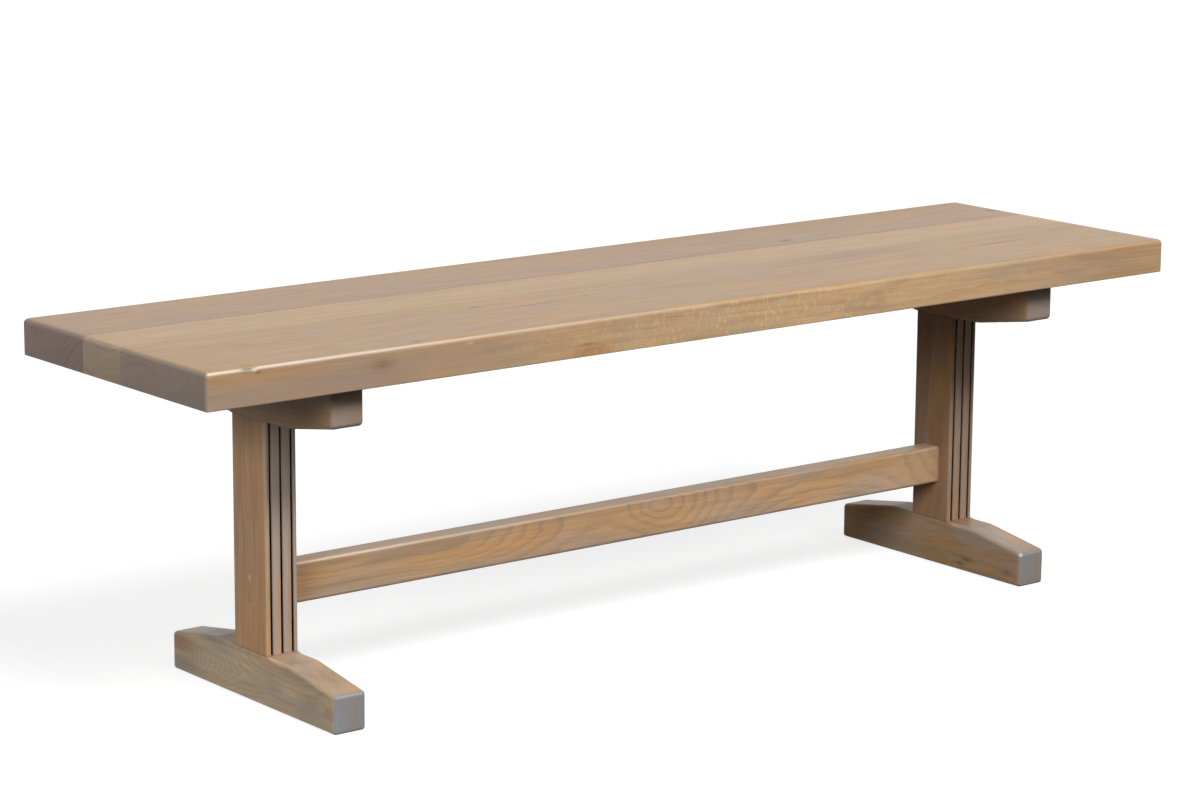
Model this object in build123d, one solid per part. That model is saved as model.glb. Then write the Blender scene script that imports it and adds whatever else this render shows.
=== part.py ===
from build123d import *
import os

os.makedirs("parts", exist_ok=True)

# Oak trestle bench, in millimetres. X runs along the seat, Y from front to back, Z up from the floor.
# The origin lies on the floor under the middle of the seat.
bench_height = 450
seat_overhang = 180.5
overrun = 5

# Seat, glued up from staves that run its whole length. The shares are of its width, from the front.
seat_length = 1500
seat_width = 400
seat_thickness = 44
seat_top_radius = 6
seat_bottom_chamfer = 1.5
seat_corner_radius = 4
stave_width_shares = (0.25, 0.20, 0.205, 0.345)
stave_names = ("seat_stave_front", "seat_stave_front_middle", "seat_stave_rear_middle", "seat_stave_rear")

# Feet, and the bearers under the seat, which are feet turned upside down. Uprights stand flush with them.
trestle_thickness = 44
foot_length = 350
foot_height = 62
foot_end_height = 46.5
bearer_inset = 25
bearer_height = 63.5
bearer_end_height = 47.5
rail_flat_length = 158
rail_knee_radius = 80
rail_edge_radius = 5
rail_base_chamfer = 1.5
rail_runout_length = 12
rail_shoulder_chamfer = 0.8

# Uprights, with grooves down their front and back faces
upright_depth = 70
upright_edge_radius = 2.5
groove_count = 3
groove_width = 3
groove_depth = 5

# Tenons on both ends of each upright
tenon_thickness = 14
tenon_shoulder = 10
tenon_length = 40
mortise_clearance = 0.1
mortise_end_gap = 0.8

# Stretcher between the uprights, with its screws and the plugs that hide them
stretcher_height = 50
stretcher_thickness = 30
stretcher_bottom_height = 113
stretcher_edge_radius = 4
stretcher_screw_pitch = 25
stretcher_screw_bite = 50
stretcher_screw_diameter = 5
stretcher_screw_head_height = 4
stretcher_screw_head_clearance = 0.3
plug_diameter = 10
plug_length = 9.5
plug_clearance = 0.05
plug_end_gap = 0.5

# Screws that hold the seat, driven up through slotted holes that let it swell across its width
seat_screw_grip = 30
seat_screw_bite = 28.8
seat_screw_diameter = 5
seat_screw_head_diameter = 10
seat_screw_head_height = 3.5
seat_screw_end_margin = 55
seat_slot_travel = 4
slot_clearance = 0.25
washer_diameter = 14
washer_thickness = 1.2
counterbore_clearance = 1

# Pilot holes and drive recesses of both kinds of screw
screw_clearance = 0.1
screw_tip_gap = 1
recess_width = 4
recess_depth = 2
recess_sides = 6

# Sizes and places that follow from those above
seat_underside = bench_height - seat_thickness
trestle_spacing = seat_length - 2 * seat_overhang - trestle_thickness
bearer_length = seat_width - 2 * bearer_inset
upright_length = seat_underside - bearer_height - foot_height
tenon_width = upright_depth - 2 * tenon_shoulder
stretcher_length = trestle_spacing - trestle_thickness
stretcher_middle = stretcher_bottom_height + stretcher_height / 2
plug_bore_depth = plug_length + plug_end_gap + stretcher_screw_head_height
stretcher_screw_length = trestle_thickness - plug_bore_depth + stretcher_screw_bite
stretcher_screw_head_diameter = plug_diameter - 2 * stretcher_screw_head_clearance
seat_screw_length = seat_screw_grip + washer_thickness + seat_screw_bite
slot_width = seat_screw_diameter + 2 * slot_clearance
counterbore_diameter = washer_diameter + 2 * counterbore_clearance
seat_screw_place = bearer_length / 2 - seat_screw_end_margin
seat_screw_places = (-seat_screw_place, seat_screw_place)

# The right trestle stands along +X, and the left one is the same, turned half round
trestle_places = {
    "left": Rot(0, 0, 180) * Pos(trestle_spacing / 2, 0, 0),
    "right": Pos(trestle_spacing / 2, 0, 0),
}
standing = (Align.CENTER, Align.CENTER, Align.MIN)
bearer_place = Pos(0, 0, seat_underside) * Rot(180, 0, 0)


def tenon(length, clearance=0):
    """Tenon that stands on the level where it is placed."""
    return Box(tenon_thickness + 2 * clearance, tenon_width + 2 * clearance, length, align=standing)


def rail_body(length, height, end_height):
    """Rail on its level, eased base: a level crown, a slope to each end, and rounded edges above."""
    outline = Polyline(
        (-length / 2, 0),
        (length / 2, 0),
        (length / 2, end_height),
        (rail_flat_length / 2, height),
        (-rail_flat_length / 2, height),
        (-length / 2, end_height),
        close=True,
    )
    profile = make_face(outline)
    knees = profile.vertices().sort_by(Axis.Y)[-2:]
    profile = fillet(knees, rail_knee_radius)
    body = extrude(Plane.YZ * profile, amount=trestle_thickness / 2, both=True)
    body = chamfer(body.faces().sort_by(Axis.Z)[0].edges(), rail_base_chamfer)
    # The three lowest groups of edges are those of the eased base
    others = [edge for group in body.edges().group_by(Axis.Z)[3:] for edge in group]
    return fillet(others, rail_edge_radius)


def rail(length, height, end_height):
    """Rail with a square shoulder under the upright, from which the rounding of the crown runs out."""
    half = trestle_thickness / 2
    tip = half - rail_edge_radius
    shoulder_plan = Polyline(
        (half, -upright_depth / 2),
        (half, upright_depth / 2),
        (tip, upright_depth / 2 + rail_runout_length),
        (-tip, upright_depth / 2 + rail_runout_length),
        (-half, upright_depth / 2),
        (-half, -upright_depth / 2),
        (-tip, -upright_depth / 2 - rail_runout_length),
        (tip, -upright_depth / 2 - rail_runout_length),
        close=True,
    )
    shoulder_bottom = height - 2 * rail_edge_radius
    shoulder = extrude(make_face(shoulder_plan), amount=2 * rail_edge_radius)
    body = rail_body(length, height, end_height) + Pos(0, 0, shoulder_bottom) * shoulder
    crown = body.faces().sort_by(Axis.Z)[-1]
    arrises = crown.edges().filter_by(Axis.Y).sort_by(Axis.X)
    body = chamfer([arrises[0], arrises[-1]], rail_shoulder_chamfer)
    mortise_depth = tenon_length + mortise_end_gap
    mortise = tenon(mortise_depth + overrun, mortise_clearance)
    return body - Pos(0, 0, height - mortise_depth) * mortise


def bearer():
    """Bearer upside down, with a counterbored slot for each of its two seat screws."""
    body = rail(bearer_length, bearer_height, bearer_end_height)
    counterbore = Cylinder(counterbore_diameter / 2, bearer_height, align=standing)
    slot = extrude(SlotOverall(slot_width + seat_slot_travel, slot_width, rotation=90), amount=bearer_height)
    for place in seat_screw_places:
        body -= Pos(0, place, seat_screw_grip) * counterbore
        body -= Pos(0, place, -overrun) * slot
    return body


def stretcher_screw_frames():
    """Frames of the screws through the right upright, with Z out of its outer face."""
    outer = trestle_thickness / 2
    heights = [stretcher_middle + side * stretcher_screw_pitch / 2 for side in (-1, 1)]
    return [Pos(outer, 0, height) * Rot(0, 90, 0) for height in heights]


def pilot_hole(length, diameter):
    """Hole for a screw that points down from the origin, open above and with room past the tip."""
    depth = length + screw_tip_gap
    return Pos(0, 0, -depth) * Cylinder(diameter / 2 + screw_clearance, depth + overrun, align=standing)


def upright():
    """Upright with its grooves, its two tenons and the holes for the stretcher's screws and plugs."""
    post = Box(trestle_thickness, upright_depth, upright_length, align=standing)
    post = fillet(post.edges().filter_by(Axis.Z), upright_edge_radius)
    pitch = trestle_thickness / groove_count
    cutter = Box(groove_width, 2 * groove_depth, upright_length + 2 * overrun, align=standing)
    for k in range(groove_count):
        x = (k + 1 / 2) * pitch - trestle_thickness / 2
        for face in (-1, 1):
            post -= Pos(x, face * upright_depth / 2, -overrun) * cutter
    post += Pos(0, 0, -tenon_length) * tenon(upright_length + 2 * tenon_length)
    post = Pos(0, 0, foot_height) * post
    bore = Cylinder(plug_diameter / 2 + plug_clearance, plug_bore_depth + overrun, align=standing)
    for frame in stretcher_screw_frames():
        post -= frame * Pos(0, 0, -plug_bore_depth) * bore
        post -= frame * Pos(0, 0, -plug_bore_depth) * pilot_hole(stretcher_screw_length, stretcher_screw_diameter)
    return post


def stretcher():
    """Stretcher that butts between the uprights, with pilot holes in its ends."""
    body = Box(stretcher_length, stretcher_thickness, stretcher_height)
    body = fillet(body.edges().filter_by(Axis.X), stretcher_edge_radius)
    body = Pos(0, 0, stretcher_middle) * body
    hole = pilot_hole(stretcher_screw_length, stretcher_screw_diameter)
    for place in trestle_places.values():
        for frame in stretcher_screw_frames():
            body -= place * frame * Pos(0, 0, -plug_bore_depth) * hole
    return body


def wood_screw(length, diameter, head_diameter, head_height):
    """Screw with a cylindrical head that points down, with the underside of its head at the origin."""
    shank = Cylinder(diameter / 2, length, align=(Align.CENTER, Align.CENTER, Align.MAX))
    head = Cylinder(head_diameter / 2, head_height, align=standing)
    recess = extrude(RegularPolygon(recess_width / 2, recess_sides), amount=recess_depth + overrun)
    return shank + head - Pos(0, 0, head_height - recess_depth) * recess


def stretcher_screws():
    """The two screws through the right upright, as separate solids."""
    screw = wood_screw(
        stretcher_screw_length,
        stretcher_screw_diameter,
        stretcher_screw_head_diameter,
        stretcher_screw_head_height,
    )
    return [frame * Pos(0, 0, -plug_bore_depth) * screw for frame in stretcher_screw_frames()]


def stretcher_plugs():
    """The two plugs over those screws, flush with the upright's outer face."""
    plug = Cylinder(plug_diameter / 2, plug_length, align=(Align.CENTER, Align.CENTER, Align.MAX))
    return [frame * plug for frame in stretcher_screw_frames()]


def seat_screws():
    """The screws that hold the seat to one bearer, points up, standing on their washers."""
    screw = wood_screw(seat_screw_length, seat_screw_diameter, seat_screw_head_diameter, seat_screw_head_height)
    level = seat_screw_grip + washer_thickness
    return [bearer_place * Pos(0, place, level) * screw for place in seat_screw_places]


def seat_washers():
    """The washers under those screws' heads, on the floors of the counterbores."""
    washer = Cylinder(washer_diameter / 2, washer_thickness, align=standing)
    washer -= Cylinder(slot_width / 2, washer_thickness, align=standing)
    return [bearer_place * Pos(0, place, seat_screw_grip) * washer for place in seat_screw_places]


def seat_board():
    """The whole seat as one rounded board, with the pilot holes in its underside."""
    board = Box(seat_length, seat_width, seat_thickness, align=standing)
    board = fillet(board.edges().filter_by(Axis.Z), seat_corner_radius)
    board = fillet(board.faces().sort_by(Axis.Z)[-1].edges(), seat_top_radius)
    board = chamfer(board.faces().sort_by(Axis.Z)[0].edges(), seat_bottom_chamfer)
    board = Pos(0, 0, seat_underside) * board
    hole = pilot_hole(seat_screw_length, seat_screw_diameter)
    level = seat_screw_grip + washer_thickness
    for trestle_place in trestle_places.values():
        for place in seat_screw_places:
            board -= trestle_place * bearer_place * Pos(0, place, level) * hole
    return board


def seat_staves():
    """The seat board parted at its glue lines, by name."""
    board = seat_board()
    staves = {}
    front = -seat_width / 2
    for name, share in zip(stave_names, stave_width_shares):
        width = share * seat_width
        slab = Box(seat_length, width, seat_thickness, align=(Align.CENTER, Align.MIN, Align.MIN))
        staves[name] = board & (Pos(0, front, seat_underside) * slab)
        front += width
    return staves


nodes = seat_staves()
nodes["stretcher"] = stretcher()
for side, place in trestle_places.items():
    nodes[f"foot_{side}"] = place * rail(foot_length, foot_height, foot_end_height)
    nodes[f"upright_{side}"] = place * upright()
    nodes[f"bearer_{side}"] = place * bearer_place * bearer()
    nodes[f"stretcher_screws_{side}"] = Compound([place * screw for screw in stretcher_screws()])
    nodes[f"stretcher_plugs_{side}"] = Compound([place * plug for plug in stretcher_plugs()])
    nodes[f"seat_screws_{side}"] = Compound([place * screw for screw in seat_screws()])
    nodes[f"seat_washers_{side}"] = Compound([place * washer for washer in seat_washers()])

for name, shape in nodes.items():
    export_step(shape, f"parts/{name}.step")
    print(f"{name:26s} {len(shape.solids())} solids, {shape.volume / 1000:9.1f} cm3")
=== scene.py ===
"""Looks of a trestle bench in whitewashed oak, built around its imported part.

Everything is in the part's own frame: X runs along the seat, Y from front to back and Z up from the floor.
Sizes are written in millimetres and turned to metres where a mesh or a material is made.
"""

import logging
import math
from dataclasses import dataclass
from enum import Enum
from typing import Any

import bpy
import numpy as np
from mathutils import Matrix, Vector


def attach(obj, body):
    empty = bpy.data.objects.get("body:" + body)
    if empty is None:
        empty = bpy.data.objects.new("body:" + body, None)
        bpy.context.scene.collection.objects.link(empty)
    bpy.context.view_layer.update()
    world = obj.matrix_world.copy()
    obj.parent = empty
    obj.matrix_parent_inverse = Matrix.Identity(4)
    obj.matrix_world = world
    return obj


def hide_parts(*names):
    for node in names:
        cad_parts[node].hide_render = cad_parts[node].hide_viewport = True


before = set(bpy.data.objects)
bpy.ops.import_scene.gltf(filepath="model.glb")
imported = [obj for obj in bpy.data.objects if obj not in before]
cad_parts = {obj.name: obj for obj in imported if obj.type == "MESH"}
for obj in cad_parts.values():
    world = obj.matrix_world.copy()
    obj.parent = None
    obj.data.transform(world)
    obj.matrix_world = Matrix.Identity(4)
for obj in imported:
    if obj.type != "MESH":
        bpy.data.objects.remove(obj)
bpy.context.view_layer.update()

log = logging.getLogger("bench")

MM = 0.001
BODY = "root"
# Edges that turn by more than this stay crisp under smooth shading
CREASE = math.radians(38)
# A point this far past each rounded corner keeps the flat beside it flat under smooth shading
HAIR = 0.3
# Least rounding of an edge, which still catches a thin line of light
LEAST = 0.4
# Points round a plug, a washer and a bore
AROUND = 48

# Sizes that more than one piece takes: the timber's thickness, the heights of the foot's crown, the bearer's
# lowest side and the seat's underside, the seat screws' places and the level that their washers bear on, and
# the heights and the depth of the stretcher's plug bores
TIMBER = 44
FOOT_TOP = 62
BEARER_LOW = 342.5
SEAT_LOW = 406
SEAT_SCREWS = (-120, 120)
WASHER_LEVEL = 376
PLUG_HEIGHTS = (125.5, 150.5)
PLUG_BORE = 14
# Dark wood of a small knot, and the white of the room
KNOT = "6a5240"
WHITE = (1.0, 1.0, 1.0, 1.0)


class Run(Enum):
    """Which way a piece's grain runs, as the places of its length, width and height among X, Y and Z."""

    ALONG_X = (0, 1, 2)
    ALONG_Y = (1, 0, 2)
    ALONG_Z = (2, 0, 1)


class Slot(Enum):
    """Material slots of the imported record."""

    SEAT = "seat_oak"
    FRAME = "frame_oak"
    PLUG = "plug_oak"
    STEEL = "zinc_steel"


def linear(code: str) -> tuple[float, float, float, float]:
    """Turns the six hex digits of an sRGB colour into linear red, green and blue, and an alpha of 1."""
    parts = [int(code[i:i + 2], 16) / 255 for i in (0, 2, 4)]
    return (*[c / 12.92 if c <= 0.04045 else ((c + 0.055) / 1.055) ** 2.4 for c in parts], 1.0)


class Nodes:
    """The node tree of a material or of the room, emptied to be filled again."""

    def __init__(self, owner: bpy.types.ID) -> None:
        """Empties the owner's tree.

        Args:
            owner: The material or the world.
        """
        owner.use_nodes = True
        self.tree = owner.node_tree
        self.tree.nodes.clear()

    def add(self, kind: str, *inputs: Any, named: dict[Any, Any] | None = None,
            **settings: Any) -> bpy.types.Node:
        """Adds a node with its settings, its inputs' values and its links.

        Args:
            kind: The node's type name, after "ShaderNode".
            inputs: For each input in turn, a value, an output, or a node whose first output is linked.
            named: The same for inputs by name or number.
            settings: The node's own properties.

        Returns:
            The new node.
        """
        node = self.tree.nodes.new("ShaderNode" + kind)
        for name, value in settings.items():
            setattr(node, name, value)
        for key, value in [*enumerate(inputs), *(named or {}).items()]:
            if isinstance(value, bpy.types.Node):
                value = value.outputs[0]
            if isinstance(value, bpy.types.NodeSocket):
                self.tree.links.new(value, node.inputs[key])
            else:
                node.inputs[key].default_value = value
        return node


def placed(name: str, data: bpy.types.ID) -> bpy.types.Object:
    """Puts a mesh, a lamp or a camera into the scene.

    Args:
        name: The new object's name.
        data: What it shows.

    Returns:
        The new object, at the origin.
    """
    thing = bpy.data.objects.new(name, data)
    bpy.context.scene.collection.objects.link(thing)
    return thing


def circle(steps: int = AROUND, turn: float = 0.0) -> np.ndarray:
    """Points round a circle of radius 1, the first at that turn: the cosine and the sine of each angle."""
    angles = np.linspace(0, 2 * np.pi, steps, endpoint=False) + turn
    return np.stack([np.cos(angles), np.sin(angles)], 1)


def rounded_sections(corners: np.ndarray, radii: np.ndarray, steps: int = 5) -> np.ndarray:
    """Rounds the corners of right-angled outlines.

    A corner P whose unit edges run to the corner before (a) and after (b) becomes the quarter circle
    P + r (1 - sin t) a + r (1 - cos t) b, for t from 0 to 90 degrees, with one point more at each end.

    Args:
        corners: Outline corners, as stations by corners by 2.
        radii: Radius of each corner, as stations by corners.
        steps: Steps round each corner.

    Returns:
        The outlines' points, as stations by points by 2.
    """
    before = np.roll(corners, 1, axis=1) - corners
    after = np.roll(corners, -1, axis=1) - corners
    before /= np.linalg.norm(before, axis=2, keepdims=True)
    after /= np.linalg.norm(after, axis=2, keepdims=True)
    turn = np.linspace(0, np.pi / 2, steps + 1)
    radius = np.broadcast_to(radii, corners.shape[:2])[..., None]
    nil = np.zeros_like(radius)
    back = np.concatenate([radius + HAIR, radius * (1 - np.sin(turn)), nil], axis=2)[..., None]
    on = np.concatenate([nil, radius * (1 - np.cos(turn)), radius + HAIR], axis=2)[..., None]
    points = corners[:, :, None] + back * before[:, :, None] + on * after[:, :, None]
    return points.reshape(len(corners), -1, 2)


def rectangle_corners(left: Any, right: Any, low: Any, high: Any) -> np.ndarray:
    """Corners of a rectangle at each station, from the lower left one round, as stations by 4 by 2."""
    left, right, low, high = np.broadcast_arrays(*np.atleast_1d(left, right, low, high))
    return np.stack([np.stack(p, -1) for p in ((left, low), (right, low), (right, high), (left, high))], 1)


def along(run: Run, stations: np.ndarray, sections: np.ndarray) -> np.ndarray:
    """Carries flat sections along an axis.

    Args:
        run: The axis that they are carried along.
        stations: Place of each section on that axis.
        sections: The sections, as stations by points by 2.

    Returns:
        Rings of points, as stations by points by 3.
    """
    rings = np.empty(sections.shape[:2] + (3,))
    length, width, height = run.value
    rings[..., length] = stations[:, None]
    rings[..., width] = sections[..., 0]
    rings[..., height] = sections[..., 1]
    return rings


def end_inset(stations: np.ndarray, half: float, radius: float) -> np.ndarray:
    """How far a rounded end draws a side in: R - root(R squared - t squared), at t past the end's start."""
    past = np.clip(np.abs(stations) - (half - radius), 0, radius)
    return radius - np.sqrt(np.maximum(radius ** 2 - past ** 2, 0))


def end_stations(half: float, radius: float, middles: np.ndarray, steps: int = 6) -> np.ndarray:
    """Stations along a piece, with even steps of angle round its ends: half less R plus R times each sine."""
    tip = half - radius + radius * np.sin(np.linspace(0, np.pi / 2, steps + 1))
    return np.concatenate([-tip[::-1], middles, tip])


def skin(name: str, rings: np.ndarray, closed: bool = False) -> bpy.types.Object:
    """Skins a mesh over rings of points, with its ends capped, its faces outwards and its creases crisp.

    Args:
        name: The piece's name.
        rings: Points in millimetres, as rings by points by 3.
        closed: Whether the last ring joins the first instead of both being capped.

    Returns:
        The new object.
    """
    count, around = rings.shape[:2]
    index = np.arange(count * around).reshape(count, around)
    upper = np.roll(index, -1, axis=0) if closed else index[1:]
    lower = index if closed else index[:-1]
    quads = np.stack([lower, np.roll(lower, -1, 1), np.roll(upper, -1, 1), upper], -1).reshape(-1, 4)
    points = rings.reshape(-1, 3) * MM
    a, b, c, d = (points[quads[:, i]] for i in range(4))
    centre = points.mean(axis=0)
    # Twice the area of each quad times its distance from the middle, summed: positive when it faces out
    facing = np.sum(np.cross(c - a, d - b) * (a + b + c + d - 4 * centre))
    faces = quads.tolist() + ([] if closed else [index[0][::-1].tolist(), index[-1].tolist()])
    if facing < 0:
        faces = [face[::-1] for face in faces]
    mesh = bpy.data.meshes.new(name)
    mesh.from_pydata(points.tolist(), [], faces)
    mesh.shade_smooth()
    mesh.set_sharp_from_angle(angle=CREASE)
    return placed(name, mesh)


def cutter(run: Run, start: float, stop: float, outline: np.ndarray) -> bpy.types.Object:
    """Makes a straight shape that cuts a way through a piece: an outline carried from start to stop."""
    return skin("cutter", along(run, np.array([start, stop]), np.stack([outline] * 2)))


def cut(piece: bpy.types.Object, cutters: list[bpy.types.Object]) -> None:
    """Cuts closed shapes out of a piece and leaves one plain mesh.

    Args:
        piece: The piece.
        cutters: The shapes, which are used up.
    """
    for cutter in cutters:
        boolean = piece.modifiers.new("cut", "BOOLEAN")
        boolean.object, boolean.solver = cutter, "EXACT"
        done = bpy.data.meshes.new_from_object(piece.evaluated_get(bpy.context.evaluated_depsgraph_get()))
        piece.modifiers.clear()
        piece.data = done
        bpy.data.objects.remove(cutter)
    piece.data.name = piece.name
    piece.data.set_sharp_from_angle(angle=CREASE)


def joined(name: str, parts: list[bpy.types.Object]) -> bpy.types.Object:
    """Joins objects into one of that name.

    Args:
        name: The new object's name.
        parts: The objects, which lie at the origin.

    Returns:
        The first object, which now holds them all.
    """
    with bpy.context.temp_override(active_object=parts[0], selected_editable_objects=parts):
        bpy.ops.object.join()
    parts[0].name = parts[0].data.name = name
    return parts[0]


def settle(piece: bpy.types.Object, material: bpy.types.Material, slot: Slot, *nodes: str) -> None:
    """Dresses a piece and hands it to the frame in place of CAD nodes.

    Args:
        piece: The finished piece.
        material: Its material.
        slot: The record's material slot; not used.
        nodes: CAD nodes that it stands for.
    """
    piece.data.materials.clear()
    piece.data.materials.append(material)
    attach(piece, BODY)
    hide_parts(*nodes)
    log.info("%-28s %6d faces, stands for %s", piece.name, len(piece.data.polygons), ", ".join(nodes))


@dataclass(frozen=True)
class Spot:
    """A place that the grain flows round, that is stained, or that holds painted light or shade, in
    millimetres in the bench's frame.

    Attributes:
        place: Its middle.
        reach: Its half size along X, Y and Z.
        stain_and_painted_light: Its colour.
        strength: How strongly it is stained or painted: 1 in full at its middle, and more makes the full
            stain wider.
        swell: How far the growth rings bend outwards there.
        under: Whether the grain shows over the stain.
    """

    place: tuple[float, float, float]
    reach: tuple[float, float, float]
    stain_and_painted_light: str = KNOT
    strength: float = 0.0
    swell: float = 0.0
    under: bool = False


@dataclass(frozen=True)
class WashedOak:
    """European oak under a thin white wash and a satin lacquer, planed and sanded.

    The wash leaves the wood pale and a little grey, in patches, and lets the growth rings, the fibres and the
    rays across them show through softly. Sanding has taken it off the edges, which are warmer and smoother.

    Attributes:
        name: The material's name.
        run: Which way the grain runs.
        pith: The heart of the tree, in millimetres in the bench's frame.
        tilt: How the log leans, in degrees about its own Y and Z.
        ring: Width of a growth ring.
        phase: Shift of the rings, as a share of a ring.
        waver: How far the rings wander.
        ripple: Size of their small waves.
        uneven: How uneven their widths are.
        body: Colour of the late wood.
        line: Colour of the porous early wood.
        contrast: Strength of the rings.
        tone: Colour of the broad streaks.
        tones: Strength of the broad streaks.
        grey: Colour of the patches where the wash lies thick.
        warm: Colour of those where it lies thin.
        wash: Strength of both.
        rays: Where the wood's rays show as flecks, and their colour and strength.
        end: Colour of the end grain, whose open pores hold the wash.
        ends: How far the end grain takes that colour.
        end_rings: Strength of the rings there.
        worn: Colour of the sanded edges.
        wear: How far the edges take it.
        spots: Knots, swirls, stains, and painted highlights and shade.
        end_spots: Stains on the end grain, and a painted highlight.
        seed: Shift of every pattern along the log.
    """

    name: str
    run: Run
    pith: tuple[float, float, float]
    tilt: tuple[float, float] = (0.0, 0.0)
    ring: float = 3.2
    phase: float = 0.0
    waver: float = 9.0
    ripple: float = 0.5
    uneven: float = 1.0
    body: str = "c4a583"
    line: str = "94795f"
    contrast: float = 0.35
    tone: str = "a58c7a"
    tones: float = 0.25
    grey: str = "a1968f"
    warm: str = "cc9a63"
    wash: float = 0.25
    rays: Spot | None = None
    end: str = "857268"
    ends: float = 0.8
    end_rings: float = 0.35
    worn: str = "c9a070"
    wear: float = 0.15
    spots: tuple[Spot, ...] = ()
    end_spots: tuple[Spot, ...] = ()
    seed: float = 0.0

    def material(self) -> bpy.types.Material:
        """Builds the material.

        Returns:
            The new material.
        """
        material = bpy.data.materials.new(self.name)
        OakNodes(material, self).paint()
        return material


class OakNodes(Nodes):
    """The nodes of one whitewashed oak, which all read the same frames.

    Attributes:
        oak: The finish.
        place: Millimetres in the bench's frame.
        log_frame: Millimetres in the log's frame, with X along the pith.
        sawn: The same, shifted along the log by the finish's seed.
        normal: The surface's normal.
    """

    def __init__(self, owner: bpy.types.Material, oak: WashedOak) -> None:
        """Adds the frames.

        Args:
            owner: The new material.
            oak: Its finish.
        """
        super().__init__(owner)
        self.oak = oak
        coordinate = self.add("TexCoord").outputs["Object"]
        self.place = self.add("VectorMath", coordinate, named={"Scale": 1 / MM}, operation="SCALE")
        quarter = math.pi / 2
        base = {Run.ALONG_X: Matrix.Identity(3), Run.ALONG_Y: Matrix.Rotation(quarter, 3, "Z"),
                Run.ALONG_Z: Matrix.Rotation(-quarter, 3, "Y")}[oak.run]
        lean = [Matrix.Rotation(math.radians(angle), 3, axis) for angle, axis in zip(oak.tilt, "YZ")]
        turn = (base @ (lean[0] @ lean[1])).to_euler()
        self.log_frame = self.add("Mapping", coordinate, [v * MM for v in oak.pith], turn, (MM, MM, MM),
                                  vector_type="TEXTURE")
        self.sawn = self.add("VectorMath", self.log_frame, (oak.seed * 7, 0, oak.seed), operation="ADD")
        self.normal = self.add("NewGeometry").outputs["Normal"]

    def paint(self) -> None:
        """Lays the colours from the wood outwards, then the edges, the ends and the surface's relief."""
        oak = self.oak
        radius, masks = self._radius()
        early = self._early_wood(radius)
        # Fibres about 1.6 mm wide and 110 mm long: real ones are a tenth of that and wouldn't show
        fibre = self._noise(self.sawn, 110, 1.6, 4.0)
        # Streaks about 7 mm wide and 80 mm long, which still show where the seat is seen at a low angle
        streak = self._noise(self.sawn, 80, 7, 3.0)
        # Broad lanes of another tone along the board, and the wash's patches, a hand's breadth long
        broad = self._noise(self.sawn, 700, 22, 2.0)
        cloud = self._noise(self.sawn, 120, 38, 1.5)
        # Pores 0.5 mm wide and 9 mm long, filled by the wash
        pore = self._noise(self.sawn, 9, 0.5, 1.0)
        # Where the wash lies thick it hides the rings
        clear = self.add("MapRange", cloud, 0.42, 0.62, 1.0, 0.6)
        seen = self.add("Math", early, clear, operation="MULTIPLY")
        colour = linear(oak.body)
        for spot, mask in masks:
            if spot.under:
                colour = self._blend(mask, colour, spot.stain_and_painted_light, spot.strength)
        colour = self._blend(seen, colour, oak.line, oak.contrast)
        colour = self._blend(self.add("MapRange", broad, 0.42, 0.66), colour, oak.tone, oak.tones)
        colour = self._blend(self.add("MapRange", cloud, 0.48, 0.66), colour, oak.grey, oak.wash)
        colour = self._blend(self.add("MapRange", cloud, 0.50, 0.34), colour, oak.warm, oak.wash)
        bright = self.add("MapRange", fibre, 0.3, 0.7, 0.9, 1.1)
        level = self.add("MapRange", streak, 0.35, 0.65, 0.93, 1.07)
        bright = self.add("Math", bright, level, operation="MULTIPLY")
        colour = self.add("VectorMath", colour, named={"Scale": bright}, operation="SCALE")
        for spot, mask in masks:
            if not spot.under:
                colour = self._blend(mask, colour, spot.stain_and_painted_light, spot.strength)
        if oak.rays:
            colour = self._blend(self._flecks(), colour, oak.rays.stain_and_painted_light, oak.rays.strength)
        arris = self._arris()
        height = self.add("SeparateXYZ", self.normal).outputs["Z"]
        upward = self.add("MapRange", height, 0.2, 0.5)
        worn = self.add("Math", arris, upward, operation="MULTIPLY")
        colour = self._blend(worn, colour, oak.worn, oak.wear)
        # The rings show darker across the end grain than along the board
        end = linear(oak.end)
        shade = (*[c * 0.55 for c in end[:3]], 1.0)
        section = self._blend(early, end, shade, oak.end_rings)
        colour = self._blend(self._end_mask(), colour, section, oak.ends)
        for spot in oak.end_spots:
            colour = self._blend(self._near(spot), colour, spot.stain_and_painted_light, spot.strength)
        self._surface(colour, early, fibre, pore, arris)

    def _noise(self, start: bpy.types.Node, length: float, width: float, detail: float,
               roughness: float = 0.55) -> bpy.types.Node:
        """Adds noise of that length along the log and that width across it, with its start shifted."""
        scaled = self.add("VectorMath", start, (1 / length, 1 / width, 1 / width), operation="MULTIPLY")
        return self.add("TexNoise", scaled, named={"Scale": 1.0, "Detail": detail, "Roughness": roughness})

    def _radius(self) -> tuple[Any, list]:
        """Works out the distance from the pith, bent by slow noise and by each spot's swell times its mask.

        Returns:
            The distance, and a list of each stained spot and each spot of painted light or shade, with its
            mask.
        """
        oak, bent = self.oak, self.log_frame
        shifted = self.add("VectorMath", bent, (oak.seed, oak.seed / 3, 0), operation="ADD")
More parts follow.
